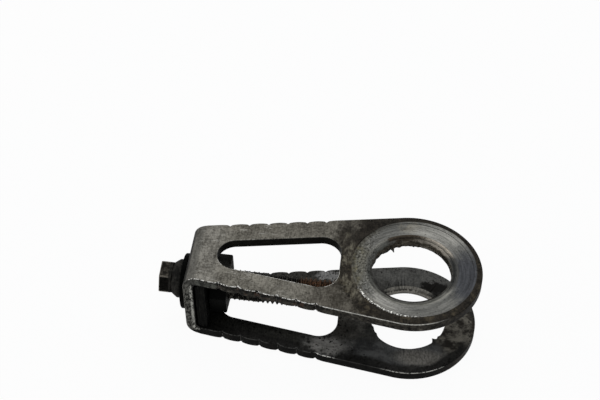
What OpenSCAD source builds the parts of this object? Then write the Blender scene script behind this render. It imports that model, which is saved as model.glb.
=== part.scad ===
// Chain adjuster for a motorcycle swing arm: a folded strap fork with a captive adjusting screw.
// The origin is the middle of the axle bore. Z runs along the bore, and the screw lies towards -X.

/* [Strap] */
// Thickness of the steel strip that the fork is folded from
sheet_t = 2.6; // [2:0.1:3.2]
// Height of the fork over both legs
fork_h = 22.4; // [21:0.2:30]
// Width of the web that joins the legs
web_w = 18.4; // [17:0.2:24]
// Distance from the outer face of the web to the axle's centre
web_to_axle = 57.6; // [54:0.2:75]
// Outer radius of the two folds
fold_r = 4; // [3.4:0.1:5]
// Distance from the outer face of the web to where the legs start to widen
taper_start = 3; // [2:0.1:5]

/* [Axle end] */
// Diameter of the rounded end of each leg
end_d = 36; // [34:0.5:44]
// Diameter of the axle bore
bore_d = 20.4; // [15:0.1:22]
// Diameter at the mouth of the bore, where its edge is worn to a shallow cone
mouth_d = 24; // [22.4:0.1:25]
// Depth of that cone
mouth_h = 0.4; // [0.2:0.1:0.8]
// Diameter of the ring that the axle washer has worn bright
ring_d = 31.8; // [27:0.1:33]
// Depth of the worn ring below the leg's face
ring_h = 0.15; // [0.1:0.05:0.4]

/* [Leg windows] */
// Width of the strip of steel left beside the window
strip_w = 5.8; // [5:0.1:7]
// Distance from the outer face of the web to the narrow end of the window
window_start = 7.8; // [6:0.2:12]
// Width of the bridge between the window and the bore
bridge_w = 8; // [6:0.2:12]
// Corner radius at the wide end of the window
window_corner_r = 5; // [2:0.2:6]

/* [Index notches] */
// Distance from one notch to the next
notch_pitch = 5; // [4:0.25:5.5]
// Number of notches on each edge
notch_count = 6; // [3:1:6]
// Distance from the outer face of the web to the first notch
first_notch = 9.6; // [8:0.2:11]
// Height of the rounded tooth between two notches
tooth_rise = 0.35; // [0.1:0.05:0.6]
// Width of the nick at the foot of each notch
nick_w = 1; // [0.6:0.1:1.4]
// Depth of the nick below the foot of the teeth
nick_h = 0.3; // [0.1:0.05:0.5]

/* [Adjusting screw] */
// Diameter over the thread
screw_d = 8; // [6:0.5:8]
// Length below the collar
screw_l = 48; // [40:0.5:48.5]
// Length of the cone at the screw's tip
tip_l = 0.9; // [0.4:0.1:1.5]
// Distance from one ridge of the thread to the next
thread_pitch = 1.25; // [1:0.25:1.5]
// Depth of the thread
thread_depth = 0.6; // [0.4:0.05:0.65]
// Width of each ridge at its crest
crest_w = 0.2; // [0.1:0.05:0.3]
// Distance from the collar to the first ridge
thread_start = 6; // [5:0.25:10]
// Size of the hexagon head across its flats
head_af = 8; // [6:0.5:9]
// Length of the hexagon head
head_l = 3.2; // [2.5:0.1:6]
// Height of the slope that takes the corners off the head and the nut
corner_cut = 0.35; // [0.2:0.05:0.6]
// Turn of the head's corner from straight up, towards -Y
head_turn = 40; // [0:1:59]
// Diameter of the collar under the head
collar_d = 10.2; // [10:0.1:13]
// Length of the collar
collar_l = 2.6; // [2.4:0.1:5]
// Length of the sloped part of the collar, next to the head
collar_slope_l = 1.5; // [1:0.1:2]
// Angle by which the loose screw hangs below square, in degrees
droop = 2.5; // [0:0.1:2.5]

/* [Washer] */
// Outer diameter of the washer between the collar and the web
washer_d = 14.6; // [13:0.1:16]
// Thickness of the washer
washer_t = 1.4; // [0.8:0.1:2]
// Diameter of the hole in the washer
washer_hole_d = 9.6; // [8.6:0.1:9.8]

/* [Thrust plate] */
// Thickness of the plate held between the legs, inside the web
plate_t = 2.6; // [2:0.1:3]
// Amount by which each edge of the plate lies inside the edge of the web
plate_inset = 0.2; // [0.1:0.05:1]
// Size of the slope on the plate's two edges that lie in the folds
plate_cut = 1; // [0.9:0.05:1.4]

/* [Lock nut] */
// Gap that a corner of the nut leaves to a leg, were the screw straight
nut_corner_gap = 0.86; // [0.8:0.02:3]
// Thickness of the nut
nut_t = 4.4; // [4:0.1:6.5]
// Turn of the nut's corner from the head's corner
nut_turn = 35; // [0:1:59]

/* [Clearances] */
// Radial clearance of the screw in the web
web_hole_play = 0.45; // [0.3:0.05:0.6]
// Radial clearance of the screw in the thrust plate
plate_hole_play = 0.8; // [0.75:0.05:1.2]
// Clearance left where the shank lies on the edge of a hole
rest_play = 0.06; // [0.05:0.01:0.1]
// Gap between the washer and the web
washer_gap = 0.3; // [0.1:0.05:0.4]
// Gap between the web and the thrust plate
plate_gap = 0.5; // [0.3:0.05:0.8]
// Gap between the plate's ends and the legs
plate_end_gap = 0.3; // [0.2:0.05:0.5]
// Smallest gap between a tilted face and the flat face that it bears on
bearing_gap = 0.08; // [0.05:0.01:0.15]
// Radial clearance of the screw in the nut
nut_play = 0.05; // [0.02:0.01:0.1]

/* [Hidden] */

round_fn = 96;
cut_margin = 1;

// Points along one tooth of a notched edge
tooth_steps = 6;
// A rounded end stands this far past the straight sides that run into it, so that they cross it cleanly
round_over = 0.02;

// Faces of the web, and where the legs start to widen
web_x = -web_to_axle;
web_in_x = web_x + sheet_t;
web_mid_x = web_x + sheet_t / 2;
taper_x = web_x + taper_start;
half_h = fork_h / 2;
inner_half_h = half_h - sheet_t;
inner_fold_r = fold_r - sheet_t;

// Straight edge of a leg: from the end of the web, as good as tangent to the rounded end
touch_r = end_d / 2 - round_over;
taper_y = web_w / 2;
touch_angle = atan2(taper_y, taper_x) - acos(touch_r / norm([taper_x, taper_y]));
edge_angle = touch_angle - 90;
touch_x = touch_r * cos(touch_angle);
touch_y = touch_r * sin(touch_angle);
function edge_y(x) = taper_y + tan(edge_angle) * (x - taper_x);

// Notches, as distances along X
first_notch_x = web_x + first_notch;
// Depth of the toothed edge below the straight edge
function tooth_depth(x) = tooth_rise * pow(2 * ((x - first_notch_x) / notch_pitch
    - floor((x - first_notch_x) / notch_pitch)) - 1, 2);
function tooth_point(x) = [x, edge_y(x) - tooth_depth(x)];
function nick_point(x) = [x, edge_y(x) - tooth_rise - nick_h];
// Points of one tooth, from the nick on its left to the nick on its right
function tooth_span(from, to) = [for (i = [0:tooth_steps]) tooth_point(from + (to - from) * i / tooth_steps)];
function notched_edge() = concat(
    tooth_span(first_notch_x - notch_pitch / 2, first_notch_x - nick_w / 2),
    [for (i = [0:notch_count - 1])
        each concat([nick_point(first_notch_x + i * notch_pitch)],
            tooth_span(first_notch_x + i * notch_pitch + nick_w / 2,
                first_notch_x + (i + (i < notch_count - 1 ? 1 : 0.5)) * notch_pitch
                    - (i < notch_count - 1 ? nick_w / 2 : 0)))]);

// Window: its sides run parallel to the leg's edges
window_tip_x = web_x + window_start;
window_end_x = -bore_d / 2 - bridge_w;
window_y0 = edge_y(0) - strip_w / cos(edge_angle);
function window_side_y(x) = window_y0 + tan(edge_angle) * x;
window_tip_r = cos(edge_angle) * window_side_y(window_tip_x) / (1 - sin(edge_angle));
window_tip_cx = window_tip_x + window_tip_r;
window_corner_x = window_end_x - window_corner_r;
window_corner_y = window_side_y(window_corner_x) - window_corner_r / cos(edge_angle);

// Stack on the screw, as distances along the screw's own axis, with the tilt that the faces need
washer_in_x = web_x - washer_gap;
washer_out_x = washer_in_x - washer_t;
collar_in_x = washer_out_x - bearing_gap - collar_d / 2 * sin(droop);
collar_out_x = collar_in_x - collar_l;
head_out_x = collar_out_x - head_l;
tip_x = collar_in_x + screw_l;
plate_in_x = web_in_x + plate_gap;
plate_out_x = plate_in_x + plate_t;
plate_half_h = inner_half_h - plate_end_gap;
nut_corner_r = inner_half_h - nut_corner_gap;
nut_af = 2 * nut_corner_r * cos(30);
head_corner_r = head_af / 2 / cos(30);
nut_in_x = plate_out_x + bearing_gap + nut_corner_r * sin(droop);
nut_out_x = nut_in_x + nut_t;

// Half section of the shank from the collar to the tip, as radius and distance
ridge_count = floor((screw_l - tip_l - thread_start) / thread_pitch);
function ridge(from) = [
    [screw_d / 2, from + crest_w / 2],
    [screw_d / 2 - thread_depth, from + thread_pitch / 2],
    [screw_d / 2, from + thread_pitch - crest_w / 2]
];
function shank_profile() = concat(
    [[0, 0], [screw_d / 2, 0]],
    [for (i = [0:ridge_count - 1]) each ridge(thread_start + i * thread_pitch)],
    [[screw_d / 2, screw_l - tip_l], [screw_d / 2 - tip_l, screw_l], [0, screw_l]]
);

// The screw lies on the lower edge of the hole in the web, and the washer hangs on the shank
screw_drop = web_hole_play - rest_play - sheet_t / 2 * tan(droop);
washer_mid_x = (washer_in_x + washer_out_x) / 2;
shank_z_at_washer = (web_mid_x - washer_mid_x) * tan(droop) - screw_drop;
washer_z = shank_z_at_washer - (washer_hole_d - screw_d) / 2 + rest_play + washer_t / 2 * tan(droop);

// Turns a piece that is drawn along +Z from the origin to lie along +X from x
module along_x(x) {
    translate([x, 0, 0]) rotate([0, 90, 0]) children();
}

// Puts a piece of the screw on the screw's own, slightly drooping axis
module on_screw_axis() {
    translate([web_mid_x, 0, -screw_drop]) rotate([0, droop, 0]) translate([-web_mid_x, 0, 0]) children();
}

// Hexagon bar with one corner at turn degrees from straight up towards -Y when laid along X
module hexagon(af, turn) {
    rotate(180 + turn) circle(d = af / cos(30), $fn = 6);
}

// Side view of the folded strap: a U with rounded folds, open towards +X
module strap_side() {
    difference() {
        union() {
            translate([web_x + fold_r, -half_h]) square([web_to_axle + end_d, fork_h]);
            translate([web_x, -half_h + fold_r]) square([fold_r + 1, fork_h - 2 * fold_r]);
            for (s = [-1, 1])
                translate([web_x + fold_r, s * (half_h - fold_r)]) circle(fold_r, $fn = round_fn);
        }
        translate([web_in_x + inner_fold_r, -inner_half_h])
            square([web_to_axle + 2 * end_d, 2 * inner_half_h]);
        translate([web_in_x, -inner_half_h + inner_fold_r])
            square([inner_fold_r + 1, 2 * (inner_half_h - inner_fold_r)]);
        for (s = [-1, 1])
            translate([web_in_x + inner_fold_r, s * (inner_half_h - inner_fold_r)])
                circle(inner_fold_r, $fn = round_fn);
    }
}

// Plan view of a leg: web width, then two notched straight edges that meet the rounded end
module leg_plan() {
    edge = concat([[web_x, web_w / 2], [taper_x, taper_y]], notched_edge(), [[touch_x, touch_y]]);
    near_side = [for (p = edge) [p[0], -p[1]]];
    far_side = [for (i = [len(edge) - 1:-1:0]) edge[i]];
    circle(d = end_d, $fn = round_fn);
    polygon(concat(near_side, far_side));
}

// Plan view of the window: round at its narrow end, with rounded corners at its wide end
module window_plan() {
    tip = [window_tip_cx - window_tip_r * sin(edge_angle), window_tip_r * cos(edge_angle)];
    corner = [window_corner_x - window_corner_r * sin(edge_angle),
        window_corner_y + window_corner_r * cos(edge_angle)];
    polygon([[tip[0], -tip[1]], [corner[0], -corner[1]], [window_end_x, -window_corner_y],
        [window_end_x, window_corner_y], corner, tip]);
    translate([window_tip_cx, 0]) circle(window_tip_r + round_over, $fn = round_fn);
    for (s = [-1, 1])
        translate([window_corner_x, s * window_corner_y])
            circle(window_corner_r + round_over, $fn = round_fn);
}

// Worn ring and shallow cone at the mouth of the bore, cut from the face at +Z
module worn_mouth() {
    translate([0, 0, half_h - ring_h]) cylinder(h = ring_h + cut_margin, d = ring_d, $fn = round_fn);
    translate([0, 0, half_h - ring_h - mouth_h])
        cylinder(h = mouth_h, d1 = bore_d, d2 = mouth_d, $fn = round_fn);
}

module fork() {
    color([0.46, 0.45, 0.41])
    difference() {
        intersection() {
            rotate([90, 0, 0]) linear_extrude(height = 2 * end_d, center = true) strap_side();
            linear_extrude(height = fork_h + 2 * cut_margin, center = true) leg_plan();
        }
        linear_extrude(height = fork_h + 2 * cut_margin, center = true) window_plan();
        cylinder(h = fork_h + 2 * cut_margin, d = bore_d, center = true, $fn = round_fn);
        for (flip = [0, 180]) rotate([flip, 0, 0]) worn_mouth();
        along_x(web_x - cut_margin)
            cylinder(h = sheet_t + 2 * cut_margin, r = screw_d / 2 + web_hole_play, $fn = round_fn);
    }
}

// Plate with the two edges towards the web sloped off to clear the folds
module thrust_plate() {
    plate_half_w = web_w / 2 - plate_inset;
    color([0.33, 0.32, 0.3])
    difference() {
        rotate([90, 0, 0]) linear_extrude(height = 2 * plate_half_w, center = true)
            polygon([[plate_in_x, -plate_half_h + plate_cut], [plate_in_x + plate_cut, -plate_half_h],
                [plate_out_x, -plate_half_h], [plate_out_x, plate_half_h],
                [plate_in_x + plate_cut, plate_half_h], [plate_in_x, plate_half_h - plate_cut]]);
        along_x(plate_in_x - cut_margin)
            cylinder(h = plate_t + 2 * cut_margin, r = screw_d / 2 + plate_hole_play, $fn = round_fn);
    }
}

module web_washer() {
    color([0.17, 0.16, 0.15])
    translate([0, 0, washer_z]) along_x(washer_out_x)
    difference() {
        cylinder(h = washer_t, d = washer_d, $fn = round_fn);
        translate([0, 0, -cut_margin])
            cylinder(h = washer_t + 2 * cut_margin, d = washer_hole_d, $fn = round_fn);
    }
}

module adjusting_screw() {
    slope_r = head_corner_r + corner_cut;
    color([0.2, 0.18, 0.16])
    on_screw_axis() {
        along_x(head_out_x) intersection() {
            linear_extrude(height = head_l) hexagon(head_af, head_turn);
            cylinder(h = head_l, r1 = head_corner_r - corner_cut, r2 = slope_r + head_l, $fn = round_fn);
        }
        along_x(collar_out_x)
            cylinder(h = collar_slope_l, d1 = head_af, d2 = collar_d, $fn = round_fn);
        along_x(collar_out_x + collar_slope_l)
            cylinder(h = collar_l - collar_slope_l, d = collar_d, $fn = round_fn);
        along_x(collar_in_x) rotate_extrude($fn = round_fn) polygon(shank_profile());
    }
}

module lock_nut() {
    color([0.15, 0.15, 0.14])
    on_screw_axis() difference() {
        along_x(nut_in_x) intersection() {
            linear_extrude(height = nut_t) hexagon(nut_af, head_turn + nut_turn);
            cylinder(h = nut_t, r1 = nut_corner_r - corner_cut, r2 = nut_corner_r - corner_cut + 2 * nut_t,
                $fn = round_fn);
            cylinder(h = nut_t, r1 = nut_corner_r - corner_cut + 2 * nut_t, r2 = nut_corner_r - corner_cut,
                $fn = round_fn);
        }
        along_x(nut_in_x - cut_margin)
            cylinder(h = nut_t + 2 * cut_margin, r = screw_d / 2 + nut_play, $fn = round_fn);
    }
}

fork();
thrust_plate();
web_washer();
adjusting_screw();
lock_nut();
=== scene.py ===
from functools import partial
from math import atan2, cos, hypot, pi, radians, sin, tan

import bmesh
import bpy
from mathutils import Matrix, Vector, noise


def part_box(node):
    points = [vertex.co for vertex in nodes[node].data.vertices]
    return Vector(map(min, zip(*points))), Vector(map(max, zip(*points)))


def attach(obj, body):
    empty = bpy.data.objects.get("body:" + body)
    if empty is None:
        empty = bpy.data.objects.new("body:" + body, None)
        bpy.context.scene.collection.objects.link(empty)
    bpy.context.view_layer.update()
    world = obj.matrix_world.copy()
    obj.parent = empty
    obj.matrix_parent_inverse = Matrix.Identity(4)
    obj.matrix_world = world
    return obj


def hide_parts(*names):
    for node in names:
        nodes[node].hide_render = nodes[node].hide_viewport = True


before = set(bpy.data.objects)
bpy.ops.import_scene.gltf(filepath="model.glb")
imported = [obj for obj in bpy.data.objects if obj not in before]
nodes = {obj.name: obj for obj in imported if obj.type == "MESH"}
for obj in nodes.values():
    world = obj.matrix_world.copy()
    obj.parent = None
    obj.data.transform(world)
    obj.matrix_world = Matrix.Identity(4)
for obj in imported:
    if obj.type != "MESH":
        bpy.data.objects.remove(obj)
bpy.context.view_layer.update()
MM = 0.001

# Studio camera: looks down at the adjuster from in front of its near edge,
# a little left of the axle, from about 32 cm away.
camera_data = bpy.data.cameras.new("studio_camera")
camera_data.sensor_width = 36
camera_data.lens = 72.69
camera_data.clip_start = 0.01
camera = bpy.data.objects.new("studio_camera", camera_data)
camera.location = (-0.00473, -0.20357, 0.24368)
camera.rotation_euler = (radians(44.222), radians(0.157), radians(6.476))
bpy.context.scene.collection.objects.link(camera)
bpy.context.scene.camera = camera
bpy.context.scene.view_settings.view_transform = "Standard"

# Pale table under the adjuster: a flat sheet of white board, matt, that shows
# white to the camera and to the polished steel but keeps a soft shadow.
BOARD_SIZE = 2.4
BOARD_GAP = 0.02 * MM
WHITE_SHARE = 0.95


def wire(tree, kind, feeds=(), **settings):
    """Adds a shader node, sets or feeds its inputs, and gives its first output."""
    made = tree.nodes.new(kind)
    for key, value in settings.items():
        setattr(made, key, value)
    for place, feed in dict(feeds).items():
        if isinstance(feed, bpy.types.NodeSocket):
            tree.links.new(feed, made.inputs[place])
        else:
            made.inputs[place].default_value = feed
    return made.outputs[0]


def calc(operation, tree, a, b=0.0):
    """One step of arithmetic. The names below, such as times and most, say which."""
    return wire(tree, "ShaderNodeMath", {0: a, 1: b}, operation=operation)


times = partial(calc, "MULTIPLY")
most = partial(calc, "MAXIMUM")

table_mesh = bpy.data.meshes.new("table")
board = bmesh.new()
bmesh.ops.create_grid(board, x_segments=1, y_segments=1, size=BOARD_SIZE)
bmesh.ops.translate(board, verts=board.verts, vec=(0, 0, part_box("fork")[0].z - BOARD_GAP))
board.to_mesh(table_mesh)
board.free()
table = bpy.data.objects.new("table", table_mesh)
bpy.context.scene.collection.objects.link(table)
table_paint = bpy.data.materials.new("white_board")
table_paint.use_nodes = True
tree = table_paint.node_tree
tree.nodes.clear()
ray = tree.nodes.new("ShaderNodeLightPath").outputs
seen = most(tree, most(tree, ray["Is Camera Ray"], ray["Is Glossy Ray"]), ray["Is Transmission Ray"])
matt = wire(tree, "ShaderNodeBsdfDiffuse", {"Color": (0.82, 0.82, 0.82, 1)})
glow = wire(tree, "ShaderNodeEmission", {"Strength": 1.0})
board_look = wire(
    tree, "ShaderNodeMixShader", {"Fac": times(tree, seen, WHITE_SHARE), 1: matt, 2: glow}
)
out = tree.nodes.new("ShaderNodeOutputMaterial")
tree.links.new(board_look, out.inputs["Surface"])
table_mesh.materials.append(table_paint)

# Soft studio light: a wide panel above and behind the adjuster, weaker ones at the left
# and in front, and an even surround of pale blue. Sizes in metres, power in watts.
for name, place, size, watts in (
    ("panel_above_behind", (-0.1, 0.75, 0.85), 0.9, 4.4),
    ("panel_left", (-0.9, -0.25, 0.55), 0.7, 1.6),
    ("panel_front", (0.05, -0.7, 0.75), 0.3, 0.5),
):
    lamp = bpy.data.lights.new(name, "AREA")
    lamp.shape = "SQUARE"
    lamp.size = size
    lamp.energy = watts
    panel = bpy.data.objects.new(name, lamp)
    panel.location = place
    panel.rotation_euler = (-Vector(place)).to_track_quat("-Z", "Y").to_euler()
    bpy.context.scene.collection.objects.link(panel)
surround = bpy.data.worlds.new("studio")
bpy.context.scene.world = surround
surround.use_nodes = True
surround.node_tree.nodes["Background"].inputs["Color"].default_value = (0.9, 0.95, 1.0, 1)
surround.node_tree.nodes["Background"].inputs["Strength"].default_value = 0.45

# Fork: one strip of 2.6 mm steel, pressed out, notched along its edges and folded into a U.
# The pressing rounds its edges, and wear has burnished them. The axle washer has polished
# a ring on each leg.

# Sizes in mm, for the mesh and the material
EDGE_ROUND = 0.2
BORE_R = 10.2
MOUTH_R = 12.0
RING_R = 15.9
RING_CENTRE = (0.65, 0.6, 0)
BEYOND_RING = 16.5
INSIDE_Z = 8.6
# How far a leg's side comes in for each mm towards the web, and where the outline lies
TAPER = 0.1656
SIDE_AT = 18.24
END_AT = 18.2
# Torn spikes on the bore's lips: place round the bore and half width in degrees, reach
# towards the axle in mm, and whether the spike is on the upper leg
BORE_SPIKES = (
    (121, 3, 1.15, True), (130, 6, 0.22, True), (89, 2.5, 0.22, True), (-42, 6, 1.0, False),
    (-33, 5, 0.35, False), (-155, 26, 0.7, False), (-141, 5, 0.25, False),
)
# Where round the bore the lips are torn most, in degrees
WORST_LIP = 130


def clean_copy(node):
    """The CAD node's mesh with its loose triangles joined and its flat faces made whole."""
    shape = bmesh.new()
    shape.from_mesh(nodes[node].data)
    bmesh.ops.remove_doubles(shape, verts=shape.verts, dist=0.002 * MM)
    bmesh.ops.dissolve_limit(
        shape, angle_limit=radians(0.8), use_dissolve_boundaries=False, verts=shape.verts, edges=shape.edges
    )
    return shape


def round_edges(shape, edges, width, steps):
    """Rounds these edges, and marks the new strips for the material to burnish."""
    made = bmesh.ops.bevel(
        shape, geom=edges, offset=width, offset_type="OFFSET", segments=steps, profile=0.5,
        affect="EDGES", clamp_overlap=True, material=-1,
    )
    layers = shape.loops.layers.float
    layer = layers.get("worn_edge") or layers.new("worn_edge")
    for face in made["faces"]:
        for corner in face.loops:
            corner[layer] = 1.0


def sharp_edges(shape, least=35, keep=lambda edge: True):
    """Edges where the faces turn by more than that many degrees."""
    return [
        e for e in shape.edges
        if len(e.link_faces) == 2 and e.calc_face_angle(0) > radians(least) and keep(e)
    ]


def finished_piece(name, shape, node, body, paint):
    """Turns the shape into a piece that stands for its CAD node and moves with its body."""
    bmesh.ops.triangulate(shape, faces=[f for f in shape.faces if len(f.verts) > 4])
    mesh = bpy.data.meshes.new(name)
    shape.to_mesh(mesh)
    shape.free()
    for face in mesh.polygons:
        face.use_smooth = True
    mesh.set_sharp_from_angle(angle=radians(50))
    piece = bpy.data.objects.new(name, mesh)
    bpy.context.scene.collection.objects.link(piece)
    even = piece.modifiers.new("even_normals", "WEIGHTED_NORMAL")
    even.mode = "FACE_AREA"
    even.weight = 100
    even.keep_sharp = True
    mesh.materials.append(paint)
    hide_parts(node)
    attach(piece, body)


strap = clean_copy("fork")


def on_outline(edge):
    middle = (edge.verts[0].co + edge.verts[1].co) / 2
    return hypot(middle.x, middle.y) > BEYOND_RING * MM


round_edges(strap, sharp_edges(strap, 40, on_outline), EDGE_ROUND * MM, 2)

# The axle has dragged a ragged lip of steel down round the inner mouths of the bore,
# worst at the far left
def on_lip(vert):
    off_face = abs(abs(vert.co.z) - INSIDE_Z * MM)
    off_wall = abs(hypot(vert.co.x, vert.co.y) - BORE_R * MM)
    return off_face < 0.01 * MM and off_wall < 0.05 * MM


def lip_noise(turn, ripples, seed):
    """Noise that runs round the bore and meets itself, with a seed for each lip."""
    return noise.noise((ripples * cos(turn), ripples * sin(turn), seed))


lip = [e for e in strap.edges if all(on_lip(v) for v in e.verts)]
cut = bmesh.ops.subdivide_edges(strap, edges=lip, cuts=3)
lip_points = {v for e in lip for v in e.verts}
lip_points |= {v for v in cut["geom_inner"] if isinstance(v, bmesh.types.BMVert)}
for point in lip_points:
    turn = atan2(point.co.y, point.co.x)
    upper = point.co.z > 0
    torn = 0.3 + 0.7 * max(0.0, cos(turn - radians(WORST_LIP)))
    rough = lip_noise(turn, 4, 3.1 if upper else 8.4)
    fine = lip_noise(turn, 11, 5.7 if upper else 1.2)
    pull = max(0.0, 0.03 + 0.14 * rough + 0.2 * fine) * torn * MM
    for spike_at, half_width, inward, spike_upper in BORE_SPIKES:
        if spike_upper == upper:
            off_spike = abs(turn - radians(spike_at)) / radians(half_width)
            pull += inward * MM * max(0.0, 1 - off_spike) ** 1.5
    # Towards the axle, the upper lip hanging down and the lower one rising a little
    point.co -= Vector((cos(turn), sin(turn), 0)) * pull
    point.co.z -= (0.6 if upper else -0.2) * pull


def shade(r, g, b):
    """A colour as the eye names it, 0 to 255 a channel, as the shader needs it."""
    linear = [((c / 255 + 0.055) / 1.055) ** 2.4 if c > 10 else c / 255 / 12.92 for c in (r, g, b)]
    return (*linear, 1)


plus = partial(calc, "ADD")
minus = partial(calc, "SUBTRACT")
absolute = partial(calc, "ABSOLUTE")


def vector_calc(operation, tree, a, b=(0, 0, 0)):
    return wire(tree, "ShaderNodeVectorMath", {0: a, 1: b}, operation=operation)


def length(tree, vector):
    return vector_calc("LENGTH", tree, vector).node.outputs["Value"]


def split(tree, vector):
    """The x, y and z of a vector."""
    return wire(tree, "ShaderNodeSeparateXYZ", {0: vector}).node.outputs


def join(tree, x=0.0, y=0.0, z=0.0):
    return wire(tree, "ShaderNodeCombineXYZ", {0: x, 1: y, 2: z})


def fade(tree, value, start, end):
    """0 where the value is at start, 1 where it is at end, eased between them."""
    low, high, reverse = min(start, end), max(start, end), start > end
    return wire(
        tree, "ShaderNodeMapRange", {
            0: value, 1: low, 2: high, 3: float(reverse), 4: float(not reverse)
        },
        interpolation_type="SMOOTHSTEP",
    )


def lay(tree, mask, under, over, share=1.0):
    """Lays one colour over another where the mask is 1, or no more than a share of it."""
    if share != 1.0:
        mask = times(tree, mask, share)
    mixed = wire(tree, "ShaderNodeMix", {0: mask, 6: under, 7: over}, data_type="RGBA")
    return mixed.node.outputs[2]


def tones(tree, mask, dark, light):
    """A colour that runs from dark to light with the mask, both as the eye names them."""
    return lay(tree, mask, shade(*dark), shade(*light))


def blend(tree, mask, under, over):
    """The same as lay, for plain numbers."""
    return wire(tree, "ShaderNodeMix", {0: mask, 2: under, 3: over}, data_type="FLOAT")


def cloud(tree, at, detail, rough=0.5):
    """Noise from 0 to 1."""
    feeds = {"Vector": at, "Scale": 1.0, "Detail": detail, "Roughness": rough}
    return wire(tree, "ShaderNodeTexNoise", feeds)


def grain(tree, at, size, detail=4.0, rough=0.6, stretch=(1, 1, 1)):
    """Noise with patches about size mm wide, longer along an axis whose stretch is above 1."""
    scaled = wire(tree, "ShaderNodeMapping", {0: at, 3: tuple(1 / (size * s) for s in stretch)})
    return cloud(tree, scaled, detail, rough)


def patch(tree, at, centre, reach, soft=0.45):
    """A rounded patch of grime or wear, centred there in mm, 1 inside and 0 outside its reach."""
    share = vector_calc("DIVIDE", tree, vector_calc("SUBTRACT", tree, at, centre), reach)
    return fade(tree, length(tree, share), 1 + soft / 2, 1 - soft / 2)


def outer_patch(tree, at, centre, reach, soft=0.45):
    """The same on the outer faces of the legs, given in x and y alone."""
    return patch(tree, at, (*centre, 11), (*reach, 30), soft)


def inner_patch(tree, at, centre, reach, soft=0.45):
    """The same on the inner face of the lower leg."""
    return patch(tree, at, (*centre, -INSIDE_Z), (*reach, 4), soft)


def new_steel(name, metallic):
    """A dim metal: its material, node tree and shader, and the place on the piece in mm."""
    paint = bpy.data.materials.new(name)
    paint.use_nodes = True
    tree = paint.node_tree
    shader = tree.nodes["Principled BSDF"]
    shader.inputs["Metallic"].default_value = metallic
    shader.inputs["Specular IOR Level"].default_value = 0.15
    shader.inputs["Specular Tint"].default_value = (0.5, 0.5, 0.5, 1)
    place = tree.nodes.new("ShaderNodeTexCoord").outputs["Object"]
    at = wire(tree, "ShaderNodeMapping", {0: place, 3: (1 / MM, 1 / MM, 1 / MM)})
    return paint, tree, shader, at


def facing(tree):
    """Which way the surface faces, as x, y and z."""
    return split(tree, tree.nodes.new("ShaderNodeTexCoord").outputs["Normal"])


def worn_edges(tree):
    return wire(tree, "ShaderNodeAttribute", attribute_name="worn_edge").node.outputs["Fac"]


def add_bumps(tree, shader, height, strength, depth):
    feeds = {"Strength": strength, "Distance": depth, "Height": height}
    tree.links.new(wire(tree, "ShaderNodeBump", feeds), shader.inputs["Normal"])


steel, tree, bsdf, at = new_steel("worn_strap_steel", 0.65)
x, y, z = split(tree, at)
flat = join(tree, x, y)
reach = length(tree, flat)
height = absolute(tree, z)
steep = absolute(tree, facing(tree)["Z"])

# A ragged copy of the place, for the borders of grime and wear
stir = wire(tree, "ShaderNodeTexNoise", {"Vector": at, "Scale": 0.55, "Detail": 4.0, "Roughness": 0.7})
stir = vector_calc("SUBTRACT", tree, stir.node.outputs["Color"], (0.5, 0.5, 0.5))
ragged = vector_calc("ADD", tree, at, vector_calc("MULTIPLY", tree, stir, (7, 7, 2)))
stirred_x, stirred_y, _ = split(tree, ragged)
ragged_x = plus(tree, times(tree, x, 0.85), times(tree, stirred_x, 0.15))

blotch = grain(tree, at, 3.2, 5, 0.62)
speck = grain(tree, at, 0.55, 4, 0.7)
scratch = grain(tree, at, 0.22, 3, 0.6, (1, 14, 1))
mix_tone = plus(tree, times(tree, blotch, 0.3), times(tree, speck, 0.45))
mix_tone = plus(tree, mix_tone, times(tree, scratch, 0.25))
tone = fade(tree, mix_tone, 0.36, 0.64)

# Bare outer faces: mid-grey pressed steel, warmer and darker towards the axle end
outer = tones(tree, tone, (68, 65, 58), (125, 121, 112))
outer = lay(tree, fade(tree, y, 7, 10), outer, tones(tree, tone, (52, 49, 43), (108, 104, 95)), 0.75)
pale_web = times(tree, fade(tree, x, -46, -53), 0.5)
outer = lay(tree, pale_web, outer, tones(tree, tone, (88, 85, 79), (140, 137, 130)))
fold_mark = fade(tree, absolute(tree, plus(tree, ragged_x, 50.2)), 0.45, 0.1)
fold_mark = times(tree, fold_mark, times(tree, fade(tree, y, -5, -2), fade(tree, y, 9, 6)))
outer = lay(tree, fold_mark, outer, shade(40, 38, 34), 0.4)
rubbed = times(
    tree, fade(tree, grain(tree, at, 0.9, 5, 0.75, (3, 1, 1)), 0.56, 0.66), fade(tree, x, -26, -36)
)
outer = lay(tree, rubbed, outer, shade(158, 155, 148), 0.6)
outer_dull = tones(tree, tone, (44, 40, 34), (90, 86, 78))
dull = times(tree, fade(tree, x, -30, -18), fade(tree, y, 8.5, 5.5))
outer = lay(tree, most(tree, dull, fade(tree, x, -17, -12)), outer, outer_dull)
pits = fade(tree, speck, 0.36, 0.30)
outer = lay(tree, pits, outer, shade(52, 48, 42))

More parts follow.
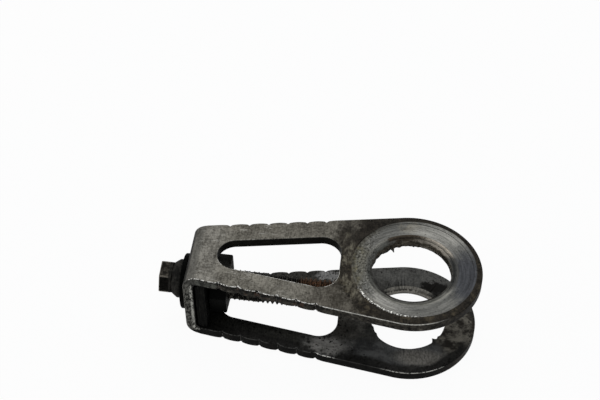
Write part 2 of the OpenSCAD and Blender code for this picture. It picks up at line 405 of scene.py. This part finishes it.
# Oily grime, thickest on the bridge and round the outside of the ring
grime_tone = tones(tree, tone, (14, 12, 10), (42, 38, 32))
tan_stain = times(tree, fade(tree, grain(tree, at, 2.4, 5, 0.75), 0.52, 0.68), fade(tree, y, 8, 4))
grime_tone = lay(tree, tan_stain, grime_tone, shade(86, 78, 62), 0.5)
ragged_reach = length(tree, join(tree, stirred_x, stirred_y))
ring_reach = length(tree, vector_calc("SUBTRACT", tree, flat, RING_CENTRE))
rim = fade(tree, ring_reach, RING_R - 0.2, RING_R + 0.1)
collar_of_grime = times(tree, rim, fade(tree, ragged_reach, 19.6, 18.6))
bridge_grime = outer_patch(tree, ragged, (-17.0, 5.5), (3.2, 9.5), 0.7)
far_grime = outer_patch(tree, ragged, (-8.5, 14.8), (6, 3.6), 0.6)
grime = most(tree, collar_of_grime, most(tree, bridge_grime, far_grime))
wiped = fade(tree, grain(tree, at, 1.3, 5, 0.66, (1, 2.4, 1)), 0.44, 0.66)
wiped_bridge = outer_patch(tree, ragged, (-17.4, 0.5), (2.6, 9), 0.8)
wiped = times(
    tree, wiped, most(tree, wiped_bridge, outer_patch(tree, ragged, (-14.8, -8), (4.2, 4.4), 0.6))
)
grime_tone = lay(tree, wiped, grime_tone, tones(tree, tone, (74, 69, 56), (132, 127, 112)), 0.7)
outer = lay(tree, grime, outer, grime_tone, 0.92)

# Ring turned bright by the axle washer, with the marks running round
round_at = vector_calc("MULTIPLY", tree, vector_calc("NORMALIZE", tree, flat), (2.2, 2.2, 2.2))
lane = join(tree, z=times(tree, reach, 2.0))
turning = cloud(tree, vector_calc("ADD", tree, round_at, lane), 4.0, 0.62)
turning_tone = fade(tree, plus(tree, times(tree, turning, 0.7), times(tree, speck, 0.3)), 0.31, 0.69)
bright = tones(tree, turning_tone, (66, 66, 63), (104, 103, 99))
bright = lay(
    tree, outer_patch(tree, ragged, (14.3, -1.5), (4.0, 9), 0.9), bright,
    tones(tree, turning_tone, (39, 40, 42), (65, 66, 69))
)
bright = lay(
    tree, outer_patch(tree, ragged, (-13.6, 1), (2.6, 8), 0.8), bright,
    tones(tree, turning_tone, (60, 59, 53), (100, 98, 90))
)
bright = lay(
    tree, outer_patch(tree, ragged, (-1, 14), (2.6, 1.8), 0.9), bright,
    tones(tree, turning_tone, (68, 64, 56), (110, 106, 96))
)
# Painted sheen: the polished ring is painted brighter at its near left and far right
painted_sheen = most(
    tree, outer_patch(tree, ragged, (-7.5, -11.8), (6.0, 2.6), 1.2),
    outer_patch(tree, ragged, (6.5, 12.2), (8.5, 3.4), 1.2)
)
bright = lay(tree, painted_sheen, bright, tones(tree, turning_tone, (92, 91, 87), (146, 144, 138)), 0.85)
left_ring = fade(tree, x, -7, -11)
pitted = times(tree, left_ring, fade(tree, grain(tree, at, 0.7, 3, 0.8), 0.50, 0.42))
fleck = times(tree, left_ring, fade(tree, grain(tree, at, 1.1, 4, 0.75), 0.54, 0.64))
bright = lay(tree, fleck, bright, shade(134, 133, 125), 0.5)
stained = times(
    tree, fade(tree, x, -11.5, -14.5), fade(tree, grain(tree, at, 1.6, 4, 0.7, (1, 2, 1)), 0.48, 0.60)
)
bright = lay(tree, stained, bright, shade(96, 90, 66), 0.6)
bright = lay(tree, pitted, bright, shade(40, 39, 34), 0.85)
bright = lay(tree, fade(tree, speck, 0.38, 0.34), bright, shade(38, 36, 32))
polished = fade(tree, ring_reach, RING_R + 0.1, RING_R - 0.1)
outer_band = times(tree, fade(tree, ring_reach, RING_R - 1.2, RING_R - 0.7), fade(tree, x, -2, -8))
bright = lay(tree, outer_band, bright, shade(52, 49, 40), 0.35)
outer = lay(tree, polished, outer, bright)
# Painted highlight: bright broken glints along the ring's near left rim, on the edge of its step
rim_glints = fade(tree, ring_reach, RING_R - 0.5, RING_R - 0.2)
rim_glints = times(tree, rim_glints, fade(tree, ring_reach, RING_R + 0.3, RING_R + 0.1))
rim_glints = times(tree, rim_glints, outer_patch(tree, at, (-6.5, -12.5), (8.5, 6), 0.6))
rim_glints = times(tree, rim_glints, fade(tree, grain(tree, at, 0.5, 3, 0.7), 0.50, 0.60))
outer = lay(tree, rim_glints, outer, shade(235, 233, 226))

# Mouth of the bore, worn to a shallow cone: dark with old grease, a painted highlight arc at the far right,
# and painted light on its left and near slopes
mouth = fade(tree, reach, MOUTH_R + 0.05, MOUTH_R - 0.15)
rung = cloud(tree, join(tree, z=times(tree, reach, 3.4)), 2.0)
mouth_tone = plus(tree, times(tree, rung, 0.5), times(tree, mix_tone, 0.5))
mouth_tone = fade(tree, mouth_tone, 0.36, 0.60)
cone = tones(tree, mouth_tone, (52, 51, 47), (110, 108, 103))
# Painted light: the cone's left and near slopes are painted paler, against the darker light they catch
cone_lit = most(tree, fade(tree, x, -5, -9), fade(tree, y, -4, -8))
cone = lay(tree, cone_lit, cone, tones(tree, turning_tone, (80, 79, 73), (132, 130, 123)))
near_arc = times(tree, fade(tree, y, -5, -8), fade(tree, reach, BORE_R + 0.55, BORE_R + 0.25))
cone = lay(tree, near_arc, cone, shade(40, 39, 36))
# Painted highlight: a pale arc on the far side of the cone
far_highlight_arc = outer_patch(tree, ragged, (6, 9.6), (7, 5.0), 0.7)
cone = lay(tree, far_highlight_arc, cone, tones(tree, mouth_tone, (62, 58, 50), (160, 152, 140)))
far_grease = outer_patch(tree, ragged, (-3.5, 11.6), (6.5, 2.6), 0.6)
cone = lay(tree, far_grease, cone, tones(tree, mouth_tone, (24, 21, 17), (72, 64, 54)))
right_dark = times(
    tree, outer_patch(tree, at, (11.6, 0.5), (2.6, 6.5), 0.7),
    fade(tree, reach, BORE_R + 0.2, BORE_R + 0.5)
)
cone = lay(tree, right_dark, cone, shade(40, 41, 41), 0.8)
cone = lay(tree, pitted, cone, shade(34, 33, 28), 0.8)
outer = lay(tree, times(tree, mouth, blend(tree, left_ring, 1.0, 0.6)), outer, cone)

# Sides of the strip: sheared dark steel, with oil and a little rust
side_patch = grain(tree, at, 1.3, 5, 0.72)
side = tones(tree, fade(tree, side_patch, 0.38, 0.62), (20, 19, 17), (64, 61, 55))
side = lay(tree, fade(tree, side_patch, 0.61, 0.68), side, shade(116, 113, 106))
side = lay(tree, fade(tree, side_patch, 0.42, 0.36), side, shade(10, 10, 9))
caked = times(tree, fade(tree, z, 9.6, 10.4), fade(tree, grain(tree, at, 1.5, 4, 0.7), 0.40, 0.52))
caked = times(tree, caked, fade(tree, x, -16, -20))
side = lay(tree, caked, side, shade(12, 12, 11), 0.85)
rust = times(tree, fade(tree, grain(tree, at, 1.7, 4, 0.7), 0.54, 0.64), fade(tree, x, -20, -30))
rust = times(tree, rust, fade(tree, x, -51, -46))
side = lay(tree, rust, side, shade(88, 66, 54), 0.6)
by_fold = times(
    tree, fade(tree, x, -47, -50), times(tree, fade(tree, z, 10.9, 10.3), fade(tree, z, 0, 4))
)
side = lay(
    tree, by_fold, side, tones(tree, fade(tree, side_patch, 0.38, 0.6), (42, 42, 39), (96, 97, 91)),
    0.75
)
low_side = fade(tree, z, -8, -8.4)
side = lay(
    tree, low_side, side, tones(tree, fade(tree, side_patch, 0.4, 0.7), (2, 2, 2), (10, 10, 9)), 0.95
)
end_side = fade(tree, x, 8, 13)
side = lay(
    tree, end_side, side, tones(tree, fade(tree, side_patch, 0.4, 0.64), (12, 10, 8), (42, 36, 29)), 0.8
)
# Cut edge of the web: pitted and black in the middle, rubbed bright along its inner side
web_side = times(tree, fade(tree, x, -53.8, -54.6), fade(tree, z, -9.9, -9.1))
web_grain = grain(tree, at, 0.7, 4, 0.75, (1, 1, 1.5))
web_tone = tones(tree, fade(tree, web_grain, 0.38, 0.62), (44, 43, 40), (104, 103, 97))
web_pits = times(
    tree, fade(tree, web_grain, 0.54, 0.44), patch(tree, at, (-56.5, -9, 0), (0.9, 9, 8.5), 0.5)
)
web_tone = lay(tree, web_pits, web_tone, shade(14, 14, 13))
web_stripe = times(tree, fade(tree, x, -56.1, -55.7), fade(tree, web_grain, 0.43, 0.53))
web_tone = lay(tree, times(tree, web_stripe, fade(tree, z, 9.2, 8.2)), web_tone, shade(164, 163, 156))
web_tone = lay(tree, fade(tree, z, 8.0, 9.2), web_tone, shade(34, 34, 32), 0.6)
side = lay(tree, web_side, side, web_tone)
inward = minus(tree, absolute(tree, y), times(tree, x, TAPER))
in_window = times(tree, fade(tree, inward, 14.8, 14.2), fade(tree, x, -17.6, -18.0))
in_bore = fade(tree, reach, BORE_R + 0.55, BORE_R + 0.3)
side = lay(tree, in_window, side, tones(tree, tone, (14, 14, 12), (34, 32, 28)))
wall_tone = tones(tree, tone, (26, 24, 20), (80, 74, 64))
wall_top = times(tree, fade(tree, z, 9.2, 10.2), fade(tree, grain(tree, at, 0.8, 4, 0.7), 0.47, 0.58))
wall_top = times(tree, wall_top, patch(tree, at, (0.5, 10.2, 10), (4.5, 3, 3), 0.6))
wall_tone = lay(tree, wall_top, wall_tone, shade(112, 106, 95))
wall_low = fade(tree, z, -8, -8.4)
wall_tone = lay(tree, wall_low, wall_tone, tones(tree, tone, (84, 81, 75), (144, 140, 132)))
wall_tone = lay(tree, times(tree, wall_low, fade(tree, z, -8.9, -8.7)), wall_tone, shade(150, 146, 136))
side = lay(tree, in_bore, side, wall_tone)
surface = lay(tree, fade(tree, steep, 0.55, 0.75), side, outer)

# Insides of the fork: black with old chain oil
oil = tones(tree, tone, (24, 24, 22), (56, 55, 51))
oil_thin = tones(tree, tone, (26, 26, 24), (60, 59, 56))
oil = lay(tree, fade(tree, x, -26, -4), oil, oil_thin)
band = times(tree, fade(tree, ragged_x, -29, -24), fade(tree, y, -7, -10))
band_tone = fade(
    tree,
    plus(tree, times(tree, grain(tree, at, 3.2, 4, 0.6, (2, 1, 1)), 0.6), times(tree, mix_tone, 0.4)),
    0.36, 0.62
)
oil = lay(tree, band, oil, tones(tree, band_tone, (30, 30, 30), (76, 76, 75)))
satin = inner_patch(tree, ragged, (2, 14.5), (13, 3.6), 0.8)
oil = lay(tree, satin, oil, tones(tree, tone, (48, 48, 46), (84, 83, 80)))
edge_gap = blend(tree, fade(tree, x, -4, -2), minus(tree, inward, SIDE_AT), minus(tree, reach, END_AT))
edge_gap = plus(tree, edge_gap, times(tree, minus(tree, blotch, 0.5), 3.0))
pale = inner_patch(tree, ragged, (-21.5, 12.2), (3.6, 1.6), 0.6)
oil = lay(tree, pale, oil, tones(tree, tone, (72, 72, 71), (120, 119, 117)))
wiped_low = inner_patch(tree, ragged, (-20, -11.4), (6, 3.0), 0.7)
oil = lay(tree, wiped_low, oil, tones(tree, band_tone, (60, 59, 56), (124, 122, 118)))
# Painted light: a paler patch on the lower leg under the upper leg's bridge, against the shade that falls
# there
painted_light_under_bridge = times(tree, inner_patch(tree, ragged, (-15, -4.5), (3.6, 4.5), 0.8), 0.6)
oil = lay(tree, painted_light_under_bridge, oil, tones(tree, tone, (70, 67, 61), (120, 117, 110)))
low_shine = inner_patch(tree, at, (4.5, -12.9), (6.5, 2.7), 0.9)
oil = lay(tree, low_shine, oil, tones(tree, tone, (64, 62, 58), (106, 103, 98)))
scuffed = inner_patch(tree, ragged, (13.5, -3), (5.5, 9), 0.6)
scuff_tone = tones(
    tree, fade(tree, grain(tree, at, 2.6, 5, 0.7, (1.2, 1, 1)), 0.40, 0.62), (32, 29, 25), (96, 92, 84)
)
oil = lay(tree, scuffed, oil, scuff_tone)
near_black = times(tree, fade(tree, edge_gap, -3.0, -2.0), fade(tree, y, -4, -9))
near_black = times(tree, near_black, minus(tree, 1.0, times(tree, wiped_low, 0.8)))
oil = lay(tree, near_black, oil, tones(tree, tone, (14, 14, 13), (40, 39, 37)), 0.95)
tar = inner_patch(tree, ragged, (7.5, 11.3), (4.2, 1.9), 0.4)
rim_specks = times(
    tree, fade(tree, reach, RING_R, BEYOND_RING), fade(tree, grain(tree, at, 0.8, 3, 0.7), 0.56, 0.62)
)
oil = lay(tree, most(tree, tar, rim_specks), oil, shade(18, 17, 15))
low_mouth = times(
    tree, patch(tree, at, (-0.5, 10.4, -INSIDE_Z), (8, 2.4, 2), 0.4), fade(tree, reach, 11.3, 11.0)
)
oil = lay(tree, low_mouth, oil, tones(tree, tone, (76, 74, 68), (138, 134, 126)), 0.85)
inside = times(tree, fade(tree, height, INSIDE_Z + 0.35, INSIDE_Z + 0.1), fade(tree, x, -55.4, -55.1))
surface = lay(tree, inside, surface, oil)

# Edges burnished by handling, painted brighter still as highlight: bright and broken along
# the near side of the upper leg, a fine even line round its end, and painted glints on the
# lower leg's inner edge
worn = worn_edges(tree)
burnish_and_highlight_tone = tones(tree, fade(tree, x, -14, -24), (206, 203, 195), (246, 243, 236))
near_top = times(tree, fade(tree, y, 0, -5), fade(tree, z, 10.2, 10.7))
glint = fade(tree, grain(tree, at, 0.6, 3, 0.7), 0.44, 0.54)
glint = blend(
    tree, fade(tree, x, -14, -24), times(tree, blend(tree, glint, 0.6, 1.0), fade(tree, x, 11, 3)),
    glint
)
# Painted glints: two bright patches on the lower leg's inner edge
low_edge_glints = patch(tree, at, (-20.3, -14.3, -INSIDE_Z), (2.8, 1.6, 1.2), 0.3)
low_edge_glints = most(
    tree, low_edge_glints, times(tree, patch(tree, at, (4, -17.6, -INSIDE_Z), (9, 3.6, 1.0), 0.5), 0.8)
)
low_edge_glints = times(tree, low_edge_glints, fade(tree, speck, 0.44, 0.50))
# Burnished wear, painted bright as highlight along the near top edge
burnish_and_glint = blend(tree, near_top, times(tree, glint, 0.06), glint)
burnish_and_glint = times(tree, worn, most(tree, burnish_and_glint, low_edge_glints))
surface = lay(tree, burnish_and_glint, surface, burnish_and_highlight_tone)

tree.links.new(surface, bsdf.inputs["Base Color"])
oily = most(tree, inside, times(tree, grime, 0.8))
roughness = blend(tree, tone, 0.56, 0.44)
roughness = blend(tree, polished, roughness, 0.36)
tree.links.new(blend(tree, oily, roughness, 0.5), bsdf.inputs["Roughness"])
grooves = times(tree, turning, polished)
relief = plus(tree, times(tree, speck, 0.7), times(tree, grooves, 0.5))
relief = plus(tree, relief, times(tree, blotch, 0.6))
add_bumps(tree, bsdf, relief, 0.6, 0.09 * MM)

finished_piece("folded_fork", strap, "fork", "frame", steel)

# Thrust plate: a sawn piece of flat bar, loose on the screw between the legs. Its two
# edges that lie in the folds are filed off at a slope. Old chain oil has turned it black.
def oily_steel(name, dark, light, worn_tone, worn_from):
    """Black oily steel with paler steel at worn edges, as parts a piece can paint over."""
    paint, tree, shader, at = new_steel(name, 0.6)
    fine = grain(tree, at, 0.5, 4, 0.7)
    coarse = grain(tree, at, 2.2, 4, 0.6)
    mixed = plus(tree, times(tree, fine, 0.5), times(tree, coarse, 0.5))
    colour = tones(tree, fade(tree, mixed, 0.36, 0.66), dark, light)
    worn = times(tree, worn_edges(tree), fade(tree, coarse, worn_from, worn_from + 0.16))
    colour = lay(tree, worn, colour, shade(*worn_tone))
    tree.links.new(blend(tree, fine, 0.85, 0.6), shader.inputs["Roughness"])
    add_bumps(tree, shader, fine, 0.5, 0.08 * MM)
    return paint, tree, at, colour, shader


plate = clean_copy("thrust_plate")
round_edges(plate, sharp_edges(plate), 0.15 * MM, 2)
plate_steel, tree, at, colour, shader = oily_steel(
    "oily_plate_steel", (3, 3, 3), (10, 10, 9), (22, 21, 19), 0.50
)
sawn = cloud(tree, wire(tree, "ShaderNodeMapping", {0: at, 3: (6, 0.3, 0.3)}), 3.0)
sawn_edge = fade(tree, absolute(tree, split(tree, at)["Y"]), 6.5, 7)
colour = lay(tree, times(tree, sawn_edge, fade(tree, sawn, 0.5, 0.62)), colour, shade(30, 29, 26))
tree.links.new(colour, shader.inputs["Base Color"])
finished_piece("dark_thrust_plate", plate, "thrust_plate", "frame", plate_steel)

# Washer between the collar and the web: punched from sheet, so one face has a rolled
# edge. It hangs on the shank, because its hole is loose.
washer = clean_copy("web_washer")
round_edges(washer, sharp_edges(washer), 0.22 * MM, 3)
washer_steel, tree, at, colour, shader = oily_steel(
    "oily_washer_steel", (2, 2, 2), (9, 9, 8), (36, 34, 30), 0.54
)
_, y, z = split(tree, at)
reach = length(tree, join(tree, y=y, z=z))
rubbed = times(tree, fade(tree, reach, 6.2, 5.8), fade(tree, grain(tree, at, 0.8, 4, 0.7), 0.44, 0.60))
colour = lay(tree, rubbed, colour, shade(52, 47, 40), 0.6)
tree.links.new(colour, shader.inputs["Base Color"])
finished_piece("rolled_web_washer", washer, "web_washer", "frame", washer_steel)

# Adjusting screw: hex head and collar turned from one bar, with an 8 mm rolled thread of
# 1.25 mm pitch. It hangs 2.5 degrees low in its loose hole.
SCREW_TILT = radians(2.5)
SCREW_AT = Vector((-56.3, 0, -0.33324)) * MM
THREAD_PITCH = 1.25 * MM
CREST_R = 4.0 * MM
ROOT_R = 3.38 * MM
COLLAR_IN = -59.6025 * MM
COLLAR_OUT = COLLAR_IN - 2.6 * MM
TIP = COLLAR_IN + 48 * MM
HEAD_OUT = COLLAR_IN - 5.8 * MM


def on_screw_axis(shape):
    """Moves a shape drawn along X through the origin's height onto the drooping axis."""
    hang = Matrix.Translation(SCREW_AT) @ Matrix.Rotation(SCREW_TILT, 4, "Y")
    hang = hang @ Matrix.Translation((-SCREW_AT.x, 0, 0))
    bmesh.ops.transform(shape, matrix=hang, verts=shape.verts)


def turned(shape, profile, steps=64):
    """A solid of revolution about X from points (x, radius)."""
    line = [shape.verts.new((x, 0, r)) for x, r in profile]
    edges = [shape.edges.new(pair) for pair in zip(line, line[1:])]
    bmesh.ops.spin(
        shape, geom=line + edges, cent=(0, 0, 0), axis=(1, 0, 0), angle=2 * pi, steps=steps,
        use_merge=True
    )


def hex_bar(shape, x0, x1, across_flats, corner_at):
    """A hexagonal bar along X, with one corner turned corner_at from straight up towards -Y."""
    made = bmesh.ops.create_cone(
        shape, cap_ends=True, segments=6, radius1=across_flats / 2 / cos(pi / 6),
        radius2=across_flats / 2 / cos(pi / 6), depth=x1 - x0,
    )
    spot = min(made["verts"], key=lambda v: abs(atan2(v.co.y, v.co.x)))
    turn = -atan2(spot.co.y, spot.co.x)
    stand = (
        Matrix.Translation(((x0 + x1) / 2, 0, 0)) @ Matrix.Rotation(corner_at, 4, "X")
        @ Matrix.Rotation(-pi / 2, 4, "Y") @ Matrix.Rotation(turn, 4, "Z")
    )
    bmesh.ops.transform(shape, matrix=stand, verts=made["verts"])


def thread(shape, x0, x1, steps=28):
    """A helical ridge from x0 to x1, drawn as a V with a flat crest, sunk a little in the core."""
    sunk = ROOT_R - 0.12 * MM
    ring = [shape.verts.new((x0 + dx * MM, 0, r)) for dx, r in (
        (-0.53, sunk), (-0.46, ROOT_R), (-0.09, CREST_R), (0.09, CREST_R), (0.46, ROOT_R), (0.53, sunk))]
    end = shape.faces.new(ring)
    turns = (x1 - x0) / THREAD_PITCH
    bmesh.ops.spin(
        shape, geom=[end], cent=(0, 0, 0), axis=(1, 0, 0), dvec=(THREAD_PITCH / steps, 0, 0),
        angle=2 * pi * turns, steps=int(steps * turns), use_duplicate=False,
    )


screw = bmesh.new()
hex_bar(screw, HEAD_OUT, COLLAR_OUT, 8 * MM, radians(40))
round_edges(screw, sharp_edges(screw), 0.25 * MM, 3)
turned(screw, [
    (COLLAR_IN - 2.62 * MM, 0), (COLLAR_IN - 2.62 * MM, 3.9 * MM), (COLLAR_IN - 2.4 * MM, 4.12 * MM),
    (COLLAR_IN - 1.2 * MM, 5.0 * MM), (COLLAR_IN - 1.0 * MM, 5.1 * MM), (
        COLLAR_IN - 0.2 * MM, 5.1 * MM
    ),
    (COLLAR_IN, 4.9 * MM), (COLLAR_IN, 3.95 * MM), (COLLAR_IN + 6 * MM, 3.95 * MM), (
        COLLAR_IN + 6.7 * MM, ROOT_R
    ),
    (TIP - 0.5 * MM, ROOT_R), (TIP, 2.95 * MM), (TIP, 0)])
thread(screw, COLLAR_IN + 6.3 * MM, TIP - 0.9 * MM)
# Old grease packed in the thread behind the nut, thinning out along it
packed = set(screw.verts)
turned(screw, [(COLLAR_IN + d * MM, r * MM) for d, r in (
    (7.5, 3.3), (7.6, 3.72), *((8.2 + 0.5 * i, 3.82) for i in range(26)), (21.4, 3.66), (23, 3.3))], 40)
for point in [v for v in screw.verts if v not in packed]:
    lump = noise.noise(point.co / (1.1 * MM)) + 0.6 * noise.noise(point.co / (0.45 * MM))
    point.co.y *= 1 + 0.045 * lump
    point.co.z *= 1 + 0.045 * lump
on_screw_axis(screw)
bmesh.ops.recalc_face_normals(screw, faces=screw.faces)
screw_steel, tree, at, colour, shader = oily_steel(
    "oily_screw_steel", (8, 8, 7), (30, 28, 25), (108, 102, 92), 0.42
)
x, y, z = split(tree, at)
head = fade(tree, x, -62.6, -62.9)
# Upward faces of the head painted paler: partly rubbed wear, partly painted light from above
top_face = times(tree, head, fade(tree, facing(tree)["Z"], 0.55, 0.8))
rubbed_and_lit_top = tones(
    tree, fade(tree, grain(tree, at, 1.1, 4, 0.7), 0.40, 0.66), (40, 37, 33), (106, 100, 90)
)
colour = lay(tree, top_face, colour, rubbed_and_lit_top, 0.7)
worn = times(
    tree, times(tree, worn_edges(tree), head), fade(tree, grain(tree, at, 1.3, 3, 0.6), 0.38, 0.52)
)
colour = lay(tree, worn, colour, shade(128, 122, 112), 0.8)
on_collar = times(tree, fade(tree, x, -63.0, -62.6), fade(tree, x, -59.4, -59.7))
turned_tone = tones(
    tree, fade(tree, grain(tree, at, 1.2, 4, 0.7), 0.40, 0.64), (34, 33, 31), (60, 58, 54)
)
colour = lay(tree, on_collar, colour, turned_tone, 0.85)
axis_z = times(tree, plus(tree, x, -SCREW_AT.x / MM), -tan(SCREW_TILT))
off_z = minus(tree, minus(tree, z, axis_z), SCREW_AT.z / MM)
reach = length(tree, join(tree, y=y, z=off_z))
on_thread = fade(tree, x, -52, -51)
crest = times(tree, on_thread, fade(tree, reach, 3.8, 3.95))
colour = lay(
    tree, times(tree, crest, fade(tree, grain(tree, at, 0.7, 3, 0.7), 0.44, 0.56)), colour,
    shade(96, 92, 84)
)
rusty = times(tree, fade(tree, x, -29.5, -27), fade(tree, x, -13, -17))
rusty = times(tree, rusty, fade(tree, grain(tree, at, 0.9, 4, 0.7), 0.36, 0.52))
rust_tone = tones(
    tree, fade(tree, grain(tree, at, 0.45, 3, 0.7), 0.4, 0.6), (54, 42, 32), (124, 90, 66)
)
colour = lay(tree, rusty, colour, rust_tone)
tree.links.new(colour, shader.inputs["Base Color"])
finished_piece(
    "threaded_adjusting_screw", screw, "adjusting_screw", "screw", screw_steel
)

# Lock nut: a plain hexagon nut, turned off at its corners on both faces, tight on the
# screw behind the thrust plate.
nut = clean_copy("lock_nut")
round_edges(nut, sharp_edges(nut), 0.3 * MM, 3)
nut_steel, tree, at, colour, shader = oily_steel(
    "oily_nut_steel", (34, 34, 31), (64, 62, 57), (66, 63, 57), 0.48
)
turned_end = fade(tree, split(tree, at)["X"], -48.0, -47.4)
caked = fade(tree, grain(tree, at, 1.6, 5, 0.7), 0.46, 0.58)
colour = lay(tree, times(tree, turned_end, caked), colour, shade(16, 15, 13))
# Painted shade: the nut's faces turned to the front are painted darker
colour = lay(tree, fade(tree, facing(tree)["Y"], -0.2, -0.7), colour, shade(14, 14, 13))
tree.links.new(colour, shader.inputs["Base Color"])
finished_piece("dark_lock_nut", nut, "lock_nut", "screw", nut_steel)
